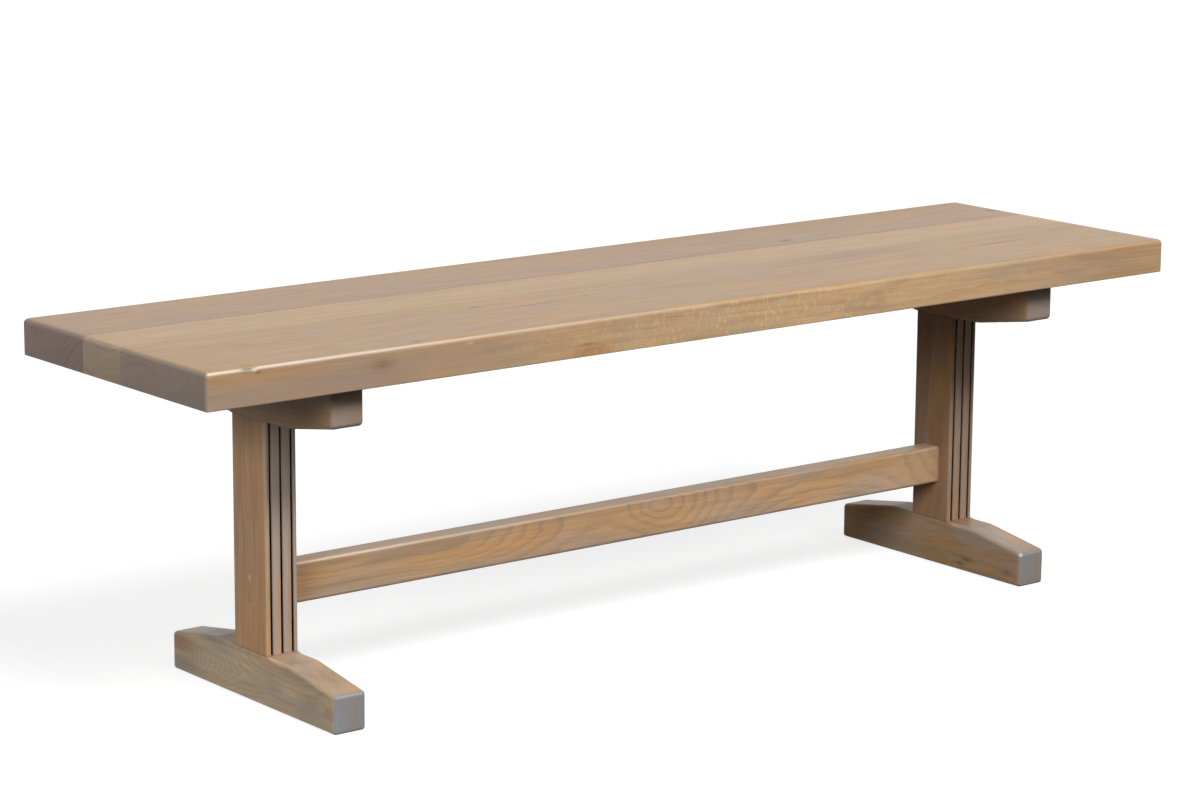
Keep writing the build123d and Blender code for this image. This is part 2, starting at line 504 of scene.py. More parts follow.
        # A slow wander over a good part of the board, then small waves about 30 mm long
        for length, width, amount in ((420, 90, oak.waver), (30, 12, oak.ripple)):
            noise = self._noise(shifted, length, width, 2.0, 0.4).outputs["Color"]
            centred = self.add("VectorMath", noise, (0.5, 0.5, 0.5), operation="SUBTRACT")
            bend = self.add("VectorMath", centred, named={"Scale": 2 * amount}, operation="SCALE")
            bent = self.add("VectorMath", bent, bend, operation="ADD")
        across = self.add("VectorMath", bent, (0, 1, 1), operation="MULTIPLY")
        radius = self.add("VectorMath", across, operation="LENGTH").outputs["Value"]
        stains_and_painted_light = []
        for spot in oak.spots:
            mask = self._near(spot)
            if spot.swell:
                radius = self.add("Math", mask, spot.swell, radius, operation="MULTIPLY_ADD")
            if spot.strength:
                stains_and_painted_light.append((spot, mask))
        return radius, stains_and_painted_light

    def _near(self, spot: Spot) -> bpy.types.Node:
        """Masks a spot: e to the minus q, the squared distance from its middle with each axis over its reach.

        Args:
            spot: The spot.

        Returns:
            A node that is 1 in its middle and fades to 0.
        """
        offset = self.add("VectorMath", self.place, spot.place, operation="SUBTRACT")
        share = self.add("VectorMath", offset, spot.reach, operation="DIVIDE")
        square = self.add("VectorMath", share, share, operation="DOT_PRODUCT").outputs["Value"]
        return self.add("Math", self.add("Math", square, -1.0, operation="MULTIPLY"), operation="EXPONENT")

    def _early_wood(self, radius: Any) -> bpy.types.Node:
        """Masks the porous early wood: a fraction of the radius over the ring's width, dark at its start.

        Args:
            radius: Distance from the pith.

        Returns:
            A node that is 1 in the early wood and fades out through each ring.
        """
        count = self.add("Math", radius, 1 / self.oak.ring, self.oak.phase, operation="MULTIPLY_ADD")
        uneven = self.add("TexNoise", named={"W": count, "Scale": 0.37, "Detail": 2.0}, noise_dimensions="1D")
        phase = self.add("Math", uneven, 3.2 * self.oak.uneven, count, operation="MULTIPLY_ADD")
        fade = self.add("ValToRGB", self.add("Math", phase, operation="FRACT"))
        ramp = fade.color_ramp
        for end, element in enumerate(ramp.elements):
            element.position, element.color = end, (0.1, 0.1, 0.1, 1)
        for position, level in ((0.12, 1.0), (0.26, 0.8), (0.5, 0.2)):
            ramp.elements.new(position).color = (level, level, level, 1)
        return fade

    def _flecks(self) -> bpy.types.Node:
        """Masks the rays: bars 3 mm wide and 11 mm high that bend to the right at both tips, like a bracket.

        Returns:
            The mask.
        """
        x, y, z = self.add("SeparateXYZ", self.place).outputs
        # The bend is a sine of the height, so that each bar curves over about its own height
        wave = self.add("Math", z, 2 * math.pi / 22, operation="MULTIPLY")
        bend = self.add("Math", wave, operation="SINE")
        curved = self.add("Math", bend, -2.0, x, operation="MULTIPLY_ADD")
        vector = self.add("CombineXYZ", curved, y, z)
        scaled = self.add("VectorMath", vector, (1 / 3.4, 1 / 14, 1 / 9), operation="MULTIPLY")
        noise = self.add("TexNoise", scaled, named={"Scale": 1.0, "Detail": 1.0})
        bars = self.add("MapRange", noise, 0.52, 0.72)
        return self.add("Math", bars, self._near(self.oak.rays), operation="MULTIPLY")

    def _blend(self, mask: Any, first: Any, second: Any, strength: float) -> bpy.types.NodeSocket:
        """Blends the second colour over the first.

        Args:
            mask: 0 where the first colour stays.
            first: First colour.
            second: Second colour, which may be in hex.
            strength: How far the second takes over where the mask is 1.

        Returns:
            The blended colour.
        """
        share = self.add("Math", mask, strength, operation="MULTIPLY", use_clamp=True)
        if isinstance(second, str):
            second = linear(second)
        return self.add("Mix", share, named={6: first, 7: second}, data_type="RGBA").outputs[2]

    def _end_mask(self) -> bpy.types.Node:
        """Masks faces cut across the grain, whose normal runs along it.

        Returns:
            The mask.
        """
        axis = [float(i == self.oak.run.value[0]) for i in range(3)]
        turn = self.add("VectorMath", self.normal, axis, operation="DOT_PRODUCT").outputs["Value"]
        return self.add("MapRange", self.add("Math", turn, operation="ABSOLUTE"), 0.3, 0.62)

    def _arris(self) -> bpy.types.Node:
        """Masks the rounded edges, where the largest part of the normal is well under 1.

        Returns:
            The mask.
        """
        x, y, z = self.add("SeparateXYZ", self.add("VectorMath", self.normal, operation="ABSOLUTE")).outputs
        most = self.add("Math", self.add("Math", x, y, operation="MAXIMUM"), z, operation="MAXIMUM")
        return self.add("MapRange", most, 0.94, 0.8)

    def _surface(self, colour: Any, early: Any, fibre: Any, pore: Any, arris: Any) -> None:
        """Adds the lacquered surface: fine relief along the fibres, the early wood's pores sunk a hair lower.

        Args:
            colour: Its colour.
            early: Mask of the early wood.
            fibre: The fibres' noise.
            pore: The pores' noise.
            arris: Mask of the smoother edges.
        """
        holes = self.add("Math", self.add("MapRange", pore, 0.60, 0.72), early, operation="MULTIPLY")
        height = self.add("Math", fibre, holes, operation="SUBTRACT")
        relief = self.add("Bump", named={"Height": height, "Strength": 0.3, "Distance": 0.12 * MM})
        satin = self.add("MapRange", fibre, 0.3, 0.7, 0.32, 0.38)
        rough = self.add("Math", arris, -0.13, satin, operation="MULTIPLY_ADD")
        # Lacquer that has sunk into open wood mirrors less than a film of it would
        shader = self.add("BsdfPrincipled", named={"Base Color": colour, "Roughness": rough, "IOR": 1.5,
                                                   "Specular IOR Level": 0.09, "Normal": relief})
        self.add("OutputMaterial", shader)


@dataclass(frozen=True)
class ZincSteel:
    """Screw steel with a bright zinc coat: cold, a little mottled, its shine soft from tumbling.

    Attributes:
        name: The material's name.
        colour: Colour of the bright crystals.
        dull: Colour of the scuffs between them.
    """

    name: str = "zinc_plated_steel"
    colour: str = "b9bcc0"
    dull: str = "9fa3a9"

    def material(self) -> bpy.types.Material:
        """Builds the material.

        Returns:
            The new material.
        """
        material = bpy.data.materials.new(self.name)
        nodes = Nodes(material)
        coordinate = nodes.add("TexCoord").outputs["Object"]
        # Zinc crystals and scuffs about 1.5 mm across
        noise = nodes.add("TexNoise", coordinate, named={"Scale": 1 / (1.5 * MM), "Detail": 3.0})
        rough = nodes.add("MapRange", noise, 0.3, 0.7, 0.26, 0.42)
        tint = nodes.add("Mix", noise, named={6: linear(self.colour), 7: linear(self.dull)}, data_type="RGBA")
        shader = nodes.add("BsdfPrincipled", named={"Base Color": tint.outputs[2], "Metallic": 1.0,
                                                    "Roughness": rough})
        nodes.add("OutputMaterial", shader)
        return material


@dataclass
class Stave:
    """One board of the seat.

    Attributes:
        node: The CAD node that it stands for.
        front: Its front side.
        back: Its back side.
        oak: Its finish.
    """

    node: str
    front: float
    back: float
    oak: WashedOak


@dataclass
class Seat:
    """The thick seat, glued up from four staves.

    Attributes:
        length: Its length.
        width: Its width.
        low: Its underside.
        high: Its top.
        top_radius: Rounding of its top edges.
        corner_radius: Rounding of its upright corners.
        base_radius: Easing of its lower edges.
        seam_radius: Easing beside a glue line.
        chip: Where the front arris is chipped, along X.
        chip_length: Half the chip's length.
        chip_depth: Its depth.
    """

    length: float = 1500
    width: float = 400
    low: float = SEAT_LOW
    high: float = SEAT_LOW + TIMBER
    top_radius: float = 6
    corner_radius: float = 4
    base_radius: float = 1.5
    seam_radius: float = 0.25
    chip: float = -693
    chip_length: float = 9
    chip_depth: float = 1.6

    def staves(self) -> list[Stave]:
        """Lists the staves with the tree that each was sawn from.

        Returns:
            The staves, from front to back.
        """
        run, top, face = Run.ALONG_X, self.high, -self.width / 2
        front_edge = (
            # Paler than the top, with an orange patch, grey ones, a dark streak and a knot cut lengthwise
            Spot((180, -203, 425), (620, 6, 60), "d8b68e", 0.85, under=True),
            Spot((-650, -203, 437), (70, 5, 7), "c58a50", 0.4),
            Spot((-700, -203, 418), (80, 6, 16), "9c8f88", 0.6),
            # A painted highlight along its upper arris, brightest at the left
            Spot((-760, -198.4, 448.4), (480, 1.5, 1.5), "f8f4f0", 0.85),
            Spot((-560, -202, 420), (150, 8, 16), "9d8a84", 0.62),
            Spot((-400, -202, 430), (60, 8, 14), "a18c82", 0.4),
            Spot((-517, face, 432), (16, 8, 7), "80583c", 0.5),
            Spot((-218, face, 411), (27, 16, 9), "a8683f", 0.45, 9),
            Spot((-226, face, 421), (13, 10, 1.8), "8a5a38", 0.5),
            Spot((-461, -188, top), (10, 4, 8), KNOT, 0.5, 4),
            # The chip: a dull dent, a bright lip at its right and a dark spot under that
            Spot((-697, -198, 447), (7, 4, 4), "8d8c80", 0.9),
            Spot((-687, -199, 446), (3, 3, 1.6), "d9d3c8", 0.8),
            Spot((-683, face, 443), (4, 2.5, 1.6), "6a4526", 0.6),
            Spot((-395, face, 442), (4, 2.5, 1.5), "d8cbb4", 0.5),
            Spot((76, face, 441), (6, 3, 1.7), "b4b8b0", 0.8),
            Spot((640, -203, 425), (90, 8, 60), "a98a68", 0.4, under=True),
        )
        front_middle_knots = (
            Spot((335, -48, top), (90, 22, 20), "8f7560", 0.5),
            Spot((-284, -57, top), (9, 3.5, 12), KNOT, 0.6, 5),
            Spot((-131, -74, top), (5, 2, 8), KNOT, 0.5, 2),
            Spot((-186, -76, top), (16, 6, 10), "8f8a70", 0.3),
            Spot((553, -90, top), (52, 3.5, 12), KNOT, 0.5, 3),
            Spot((-222, -85, top), (70, 3, 12), KNOT, 0.35, 2),
            Spot((-635, -92, top), (14, 3, 10), KNOT, 0.4, 3),
        )
        rear_knots = (
            # A greyer lane and the dark glue line first, then the knots, and the browner right end
            Spot((0, 90, top), (1100, 22, 40), "9f8a80", 0.4, under=True),
            Spot((0, 64, top), (1400, 1.8, 20), "6e5a48", 0.35),
            Spot((333, 88, top), (11, 5, 14), KNOT, 0.85, 6),
            Spot((319, 125, top), (5, 2.5, 10), KNOT, 0.45, 2),
            Spot((-645, 157, top), (11, 3.5, 12), KNOT, 0.5, 5),
            Spot((395, 125, top), (95, 2.5, 10), KNOT, 0.3, 2),
            Spot((736, 110, top), (11, 8, 14), KNOT, 0.5, 6),
            Spot((500, 210, top), (500, 60, 60), "8f6a3c", 0.35),
            Spot((-760, 130, 428), (30, 80, 60), "8d8078", 0.3),
        )
        return [
            Stave("seat_stave_front", face, -100, WashedOak(
                "washed_oak_front_stave", run, (0, -30, 418), (0.4, 0.3), body="b2916a", line="957558",
                ripple=0.8, rays=Spot((20, -203, 428), (270, 5, 40), "e4cc92", 0.6), wash=0.22, end="988b83",
                end_rings=0.45, wear=0.3, seed=11, spots=front_edge)),
            Stave("seat_stave_front_middle", -100, -20, WashedOak(
                "washed_oak_front_middle_stave", run, (0, -62, 378), (-0.4, 0.3), body="b2916a",
                line="967658", contrast=0.3, wash=0.15, end="9b8b82", end_rings=0.4, wear=0.3, seed=147,
                spots=front_middle_knots)),
            Stave("seat_stave_rear_middle", -20, 62, WashedOak(
                "washed_oak_rear_middle_stave", run, (0, 8, 504), (0.5, -0.4), ring=5.0, body="bb9a72",
                line="9e7e5f", contrast=0.3, wash=0.15, end="ac9a87", end_rings=0.4, wear=0.3, seed=283)),
            Stave("seat_stave_rear", 62, -face, WashedOak(
                "washed_oak_rear_stave", run, (0, 40, 377), (-0.3, 0.25), ring=3.6, waver=5, body="ab8a66",
                line="876953", wash=0.15, end="92807a", end_rings=0.6, wear=0.3, seed=391, spots=rear_knots)),
        ]

    def board(self, stave: Stave) -> bpy.types.Object:
        """Skins one stave: rounded rectangles carried along it, drawn in at both ends as the edges turn.

        The chip draws points in by its depth times e to the minus q, where q is the fourth power of the
        distance from its middle over half its length, plus the squared distance from the arris over 2 mm. Two
        sines along it make it ragged.

        Args:
            stave: The stave.

        Returns:
            Its mesh object.
        """
        half, face = self.length / 2, self.width / 2
        front_shows, back_shows = stave.front <= -face, stave.back >= face
        middles = np.linspace(-half + 20, half - 20, 60)
        if front_shows:
            middles = np.sort(np.append(middles, self.chip + np.linspace(-2, 2, 33) * self.chip_length))
        x = end_stations(half, self.top_radius, middles)
        side = end_inset(x, half, self.corner_radius)
        top = end_inset(x, half, self.top_radius)
        base = end_inset(x, half, self.base_radius)
        corners = rectangle_corners(stave.front + side * front_shows, stave.back - side * back_shows,
                                    self.low + base, self.high - top)
        seam = np.full_like(x, self.seam_radius)
        eased = np.maximum(self.base_radius - base, self.seam_radius)
        turned = np.maximum(self.top_radius - top, self.seam_radius)
        radii = np.stack([eased if front_shows else seam, eased if back_shows else seam,
                          turned if back_shows else seam, turned if front_shows else seam], 1)
        rings = along(Run.ALONG_X, x, rounded_sections(corners, radii, 8))
        if front_shows:
            arris = np.array([-face + 2.5, self.high - 0.8])
            span = (rings[..., 0] - self.chip) / self.chip_length
            # Waves about 3.3 and 1.5 mm long
            jag = 1 + 0.35 * np.sin(rings[..., 0] * 1.9) + 0.25 * np.sin(rings[..., 0] * 4.3 + rings[..., 2])
            near = np.exp(-span ** 4 - np.sum((rings[..., 1:] - arris) ** 2, axis=-1) / 2.0 ** 2)
            rings[..., 1] += self.chip_depth * 0.4 * near * jag
            rings[..., 2] -= self.chip_depth * near * jag
        return skin("oak_" + stave.node, rings)

    def build(self) -> None:
        """Builds and dresses the staves."""
        for stave in self.staves():
            settle(self.board(stave), stave.oak.material(), Slot.SEAT, stave.node)


@dataclass
class Rail:
    """A foot, or the same rail upside down as a bearer: a level crown with a slope to each end.

    Attributes:
        node: The CAD node that it stands for.
        middle: Where its middle lies along the seat.
        oak: Its finish.
        height: Its height at the crown.
        end_height: Its height at the ends.
        hangs: Height that its base hangs from, or None where it stands on the floor.
        length: Its length.
        flat: Length of its level crown.
        knee: Radius between crown and slope.
        edge: Rounding of its edges.
        shoulder: Rounding that is left of them beside the upright.
        base: Easing of its lower edges.
        seat: Width of the upright that stands on it.
        runout: Length over which the rounding runs out beside the upright.
        bore_radius: Radius of the counterbores for the seat screws' heads.
        slot: Width of the slots over them.
        travel: How far the seat may move along the slots.
    """

    node: str
    middle: float
    oak: WashedOak
    height: float
    end_height: float
    hangs: float | None = None
    length: float = 350
    flat: float = 158
    knee: float = 80
    edge: float = 5
    shoulder: float = 0.8
    base: float = 1.5
    seat: float = 70
    runout: float = 12
    bore_radius: float = 8
    slot: float = 5.5
    travel: float = 4

    def crown(self, y: np.ndarray) -> np.ndarray:
        """Works out the crown: level, then an arc of the knee's radius, then straight down to the end.

        Args:
            y: Places along the rail.

        Returns:
            The crown's height at each.
        """
        fall = math.atan2(self.height - self.end_height, self.length / 2 - self.flat / 2)
        start = self.flat / 2 - self.knee * math.tan(fall / 2)
        finish = start + self.knee * math.sin(fall)
        out = np.abs(y)
        arc = self.height - self.knee + np.sqrt(self.knee ** 2 - np.clip(out - start, 0, finish - start) ** 2)
        return arc - np.maximum(out - finish, 0) * math.tan(fall)

    def screw_ways(self) -> list[bpy.types.Object]:
        """Shapes the counterbores and the slots over them, two half circles drawn apart along Y.

        Returns:
            Shapes to cut the rail with, which overrun it a little.
        """
        round_way = circle(turn=np.pi / AROUND)
        stretch = np.stack([np.zeros(AROUND), np.sign(round_way[:, 1]) * self.travel / 2], 1)
        ways = []
        for y in SEAT_SCREWS:
            bore = round_way * self.bore_radius + (self.middle, y)
            slot = round_way * self.slot / 2 + stretch + (self.middle, y)
            ways.append(cutter(Run.ALONG_Z, self.hangs - self.height - 5, WASHER_LEVEL, bore))
            ways.append(cutter(Run.ALONG_Z, WASHER_LEVEL - 1, self.hangs + 5, slot))
        return ways

    def build(self) -> None:
        """Skins and dresses the rail: sections along Y, square under the upright and rounded beyond it."""
        half, bend = self.length / 2, self.flat / 2
        # Stations lie close together where the rounding runs out and on the knees
        one_side = np.concatenate([self.seat / 2 + np.linspace(0, self.runout, 7),
                                   np.linspace(bend - 8, bend + 8, 9), np.linspace(bend + 16, half - 12, 6)])
        y = end_stations(half, self.edge, np.concatenate([-one_side[::-1], one_side]))
        inset = end_inset(y, half, self.edge)
        foot = end_inset(y, half, self.base)
        gone = np.clip((np.abs(y) - self.seat / 2) / self.runout, 0, 1)
        crown_edge = np.maximum(self.shoulder + (self.edge - self.shoulder) * gone - inset, LEAST)
        base_edge = np.maximum(self.base - foot, LEAST)
        side = TIMBER / 2 - inset
        corners = rectangle_corners(-side, side, foot, self.crown(y) - inset)
        sections = rounded_sections(corners, np.stack([base_edge, base_edge, crown_edge, crown_edge], 1))
        if self.hangs is not None:
            sections[..., 1] = self.hangs - sections[..., 1]
        sections[..., 0] += self.middle
        rail = skin("oak_" + self.node, along(Run.ALONG_Y, y, sections))
        if self.hangs is not None:
            cut(rail, self.screw_ways())
        settle(rail, self.oak.material(), Slot.FRAME, self.node)


@dataclass
class Upright:
    """An upright with three grooves down its front and back faces.

    Attributes:
        node: The CAD node that it stands for.
        middle: Where its middle lies along the seat.
        outward: Plus or minus 1, the way that its outer face looks along X.
        oak: Its finish.
        low: Where it stands on the foot.
        high: Where it meets the bearer.
        depth: Its size from front to back.
        edge: Rounding of its corners.
        grooves: Number of grooves.
        groove_width: Their width.
        groove_depth: Their depth.
        arris: Easing of the grooves' edges.
        bore_radius: Radius of the plug bores.
    """

    node: str
    middle: float
    outward: int
    oak: WashedOak
    low: float = FOOT_TOP
    high: float = BEARER_LOW
    depth: float = 70
    edge: float = 2.5
    grooves: int = 3
    groove_width: float = 3
    groove_depth: float = 5
    arris: float = 0.5
    bore_radius: float = 5.05

    def section(self) -> np.ndarray:
        """Works out the outline: the front's corners and each groove's, then the same turned for the back.

        Returns:
            The outline, as 1 by points by 2.
        """
        half, front = TIMBER / 2, self.depth / 2
        middles = (np.arange(self.grooves) + 0.5) * TIMBER / self.grooves - half
        w, d = self.groove_width / 2, self.groove_depth
        notch = np.array([[-w, 0], [-w, d], [w, d], [w, 0]])
        cuts = (notch + np.stack([middles, np.full(self.grooves, -front)], 1)[:, None]).reshape(-1, 2)
        face = np.concatenate([[[-half, -front]], cuts, [[half, -front]]])
        soft = [self.arris, LEAST, LEAST, self.arris] * self.grooves
        radii = np.array([[self.edge, *soft, self.edge] * 2])
        return rounded_sections(np.concatenate([face, -face])[None], radii, 4)

    def build(self) -> None:
        """Skins the upright, bores its outer face for the plugs and dresses it."""
        z = np.array([self.low, *np.linspace(self.low + 2, self.high - 2, 8), self.high])
        sections = np.repeat(self.section(), len(z), axis=0)
        sections[..., 0] += self.middle
        post = skin("oak_" + self.node, along(Run.ALONG_Z, z, sections))
        face = self.middle + self.outward * TIMBER / 2
        bore, bottom = circle() * self.bore_radius, face - self.outward * PLUG_BORE
        cut(post, [cutter(Run.ALONG_X, bottom, face + self.outward * 2, bore + (0, z)) for z in PLUG_HEIGHTS])
        settle(post, self.oak.material(), Slot.FRAME, self.node)


@dataclass
class Stretcher:
    """The rail that ties the trestles.

    Attributes:
        half: Half its length.
        low: Its underside.
        high: Its top.
        thickness: Its thickness.
        edge: Rounding of its long edges.
    """

    half: float = 525.5
    low: float = 113
    high: float = 163
    thickness: float = 30
    edge: float = 4

    def build(self) -> None:
        """Skins and dresses the stretcher."""
        front = -self.thickness / 2
        # The rings' swirls on the front face: place along and up, reach along and up, and swell
        swirls = tuple(Spot((x, front, z), (wide, 60, tall), swell=swell) for x, z, wide, tall, swell in (
            (-290, 138, 136, 25, 11.1), (60, 142, 67, 45, 9.6), (-160, 89, 61, 21, 14.7),
            (316, 95, 141, 38, -19.5), (459, 170, 88, 44, -9.4), (270, 210, 275, 68, -48.3),
            (-100, 210, 122, 52, -28.8), (-484, 143, 92, 20, 8.7), (33, 152, 30, 14, 4.2)))
        # The grey lower band and top edge, a painted highlight along the upper front arris, dark strokes,
        # orange lanes, and painted shade at the ends beside the uprights
        stains_and_painted_light = (
            Spot((0, front, 113), (700, 40, 12), "a39283", 0.5, under=True),
            Spot((0, 0, 165), (700, 24, 6), "998f85", 0.6, under=True),
            Spot((-540, -13.7, 161.7), (430, 1.7, 1.7), "ece2d4", 0.65),
            Spot((-462, front, 155), (34, 9, 4), "837466", 0.5),
            Spot((-400, front, 146), (40, 9, 3), "8f7a62", 0.4),
            Spot((-440, front, 128), (50, 9, 3), "86694c", 0.4),
            Spot((-330, front, 152), (60, 14, 9), "8f8278", 0.45),
            Spot((-300, front, 138), (120, 14, 7), "cf9a5c", 0.35),
            Spot((-50, front, 146), (36, 14, 14), "cf9a66", 0.4),
            # Painted shade at both ends, beside the uprights
            Spot((-535, front, 138), (45, 40, 40), "96714e", 0.5),
            Spot((520, front, 138), (60, 40, 40), "a48a6c", 0.5),
        )
        oak = WashedOak(
            "washed_oak_stretcher", Run.ALONG_X, (0, 103, 83), phase=0.517, waver=1.0, uneven=0.0,
            body="c7a077", line="8f7d6c", contrast=0.55, ripple=0.9, tones=0.1, wash=0.3, seed=71,
            spots=swirls + stains_and_painted_light)
        x = np.linspace(-self.half, self.half, 60)
        corners = np.repeat(rectangle_corners(front, -front, self.low, self.high), len(x), axis=0)
        rings = along(Run.ALONG_X, x, rounded_sections(corners, np.full((len(x), 4), self.edge)))
        settle(skin("oak_stretcher", rings), oak.material(), Slot.FRAME, "stretcher")


@dataclass(frozen=True)
class Screw:
    """A wood screw with a pan head and a hexagon recess, turned about its own axis.

    Attributes:
        length: From the underside of the head to the point.
        diameter: Over the thread.
        head: Diameter of the head.
        head_height: Height of the head.
        plain: Length of plain shank under the head.
        pitch: Rise of the thread in a turn.
        point: Length of the point.
        recess: Width of the recess across its flats.
        recess_depth: Depth of the recess.
    """

    length: float
    diameter: float = 5
    head: float = 10
    head_height: float = 3.5
    plain: float = 20
    pitch: float = 2.4
    point: float = 7
    recess: float = 4
    recess_depth: float = 2

    def rings(self, around: int = 36) -> np.ndarray:
        """Works out rings about +Z, from the point up to the floor of the recess.

        The thread is a ridge that turns with height: core plus its depth times a tooth of the fraction of
        height over pitch less angle over a full turn. The recess is a hexagon: half its width over the cosine
        of the angle from the nearest flat's middle.

        Args:
            around: Points round a ring.

        Returns:
            The rings, as rings by points by 3, with the underside of the head at 0.
        """
        turn = np.linspace(0, 2 * np.pi, around, endpoint=False)
        height = np.linspace(-self.length, -self.plain, int((self.length - self.plain) / self.pitch * 9))
        share = np.mod(height[:, None] / self.pitch - turn / (2 * np.pi), 1)
        # The tooth takes a little over half of each turn, on a core of two thirds of the screw's diameter
        tooth = np.clip(1 - np.abs(share - 0.5) / 0.28, 0, 1)
        taper = np.clip((height + self.length) / self.point, 0.02, 1)[:, None]
        core, shank, head, top = 0.34 * self.diameter, 0.42 * self.diameter, self.head / 2, self.head_height
        thread = (core + (self.diameter / 2 - core) * tooth) * taper
        # Height and radius of each ring of the shank and of the domed head
        levels = np.array([(-self.plain + 0.6, shank), (0, shank), (0, head - 0.3), (0.3, head),
                           (top - 1.2, head), (top - 0.35, head - 0.55), (top, head - 1.4)])
        hexagon = self.recess / 2 / np.cos(np.mod(turn, np.pi / 3) - np.pi / 6)
        radii = np.concatenate([thread, np.repeat(levels[:, 1:], around, 1), [hexagon, hexagon]])
        heights = np.concatenate([height, levels[:, 0], [top, top - self.recess_depth]])
        return np.concatenate([radii[..., None] * circle(around),
                               np.repeat(heights[:, None, None], around, 1)], 2)


@dataclass
class Fixings:
    """The screws, washers and plugs of one trestle.

    Attributes:
        side: Name of the side.
        middle: Where the trestle stands along the seat.
        outward: Plus or minus 1, the way out along X.
        plug_body: Colour of the plugs' late wood.
        plug_line: Colour of their early wood.
        seat_screw: The screw into the seat.
        stretcher_screw: The longer one into the stretcher's end.
        washer: Inner radius, outer radius and thickness of the washers.
        washer_edge: Rounding of their edges.
        plug: Length of the plugs.
        plug_radius: Radius of the plugs.
    """

    side: str
    middle: float
    outward: int
    plug_body: str = "bb8f66"
    plug_line: str = "ab8058"
    seat_screw: Screw = Screw(60, plain=26)
    stretcher_screw: Screw = Screw(80, head=9.4, head_height=4, plain=30)
    washer: tuple[float, float, float] = (2.75, 7, 1.2)
    washer_edge: float = 0.3
    plug: float = 9.5
    plug_radius: float = 5

    @property
    def face(self) -> float:
        """Where the upright's outer face lies along X."""
        return self.middle + self.outward * TIMBER / 2

    def pair(self, name: str, rings: np.ndarray, places: list[tuple],
             closed: bool = False) -> bpy.types.Object:
        """Skins the same shape at both of its places, as one piece."""
        return joined(f"{name}_{self.side}", [skin(name, rings + place, closed) for place in places])

    def washer_rings(self) -> np.ndarray:
        """Works out a washer: a rounded rectangle carried round a circle.

        Returns:
            Rings of points.
        """
        inner, outer, thickness = self.washer
        corners = rectangle_corners(inner, outer, WASHER_LEVEL - thickness, WASHER_LEVEL)
        section = rounded_sections(corners, np.full((1, 4), self.washer_edge), 2)[0]
        # The points past two roundings meet halfway up a side, where one of them is enough
        section = section[np.linalg.norm(section - np.roll(section, 1, axis=0), axis=1) > 0.001]
        return np.concatenate([section[:, :1] * circle()[:, None],
                               np.broadcast_to(section[:, 1:], (AROUND, len(section), 1))], -1)

    def build(self, steel: bpy.types.Material) -> None:
        """Builds and dresses the fixings.

        The seat screws point up from under the washers, the stretcher screws point inwards from the bottom of
        the plug bores, and the plugs lie flush with the outer face, with a hair of easing round their faces.

        Args:
            steel: The material of the screws and washers.
        """
        side, x = self.side, self.middle
        upright = self.seat_screw.rings() * (1, 1, -1)
        level = WASHER_LEVEL - self.washer[2]
        screws = self.pair("zinc_seat_screws", upright, [(x, y, level) for y in SEAT_SCREWS])
        settle(screws, steel, Slot.STEEL, f"seat_screws_{side}")
        washers = self.pair("zinc_seat_washers", self.washer_rings(), [(x, y, 0) for y in SEAT_SCREWS], True)
        settle(washers, steel, Slot.STEEL, f"seat_washers_{side}")
        laid = np.roll(self.stretcher_screw.rings(), 1, axis=-1) * (self.outward, 1, 1)
        bottom = self.face - self.outward * PLUG_BORE
        screws = self.pair("zinc_stretcher_screws", laid, [(bottom, 0, z) for z in PLUG_HEIGHTS])
        settle(screws, steel, Slot.STEEL, f"stretcher_screws_{side}")
        depths = self.face - self.outward * np.array([self.plug, 0.2, 0, 0])
        circles = circle() * (self.plug_radius - np.array([0, 0, 0.2, 0.5]))[:, None, None]
        plug = along(Run.ALONG_X, depths, circles)
        plugs = self.pair("oak_stretcher_plugs", plug, [(0, 0, z) for z in PLUG_HEIGHTS])
        # All that stands out on them: a pale sliver on the upper one and a smaller orange one on the lower
        slivers = (Spot((self.face, 0, 151), (4, 2.6, 6.5), "dccba6", 0.9),
                   Spot((self.face, -1, 127), (4, 1.6, 4), "d0a070", 0.5))
        oak = WashedOak(f"washed_oak_plugs_{side}", Run.ALONG_Z, (x, 60, 138), body=self.plug_body,
                        line=self.plug_line, wash=0.0, wear=0.0, seed=17, spots=slivers)
        settle(plugs, oak.material(), Slot.PLUG, f"stretcher_plugs_{side}")


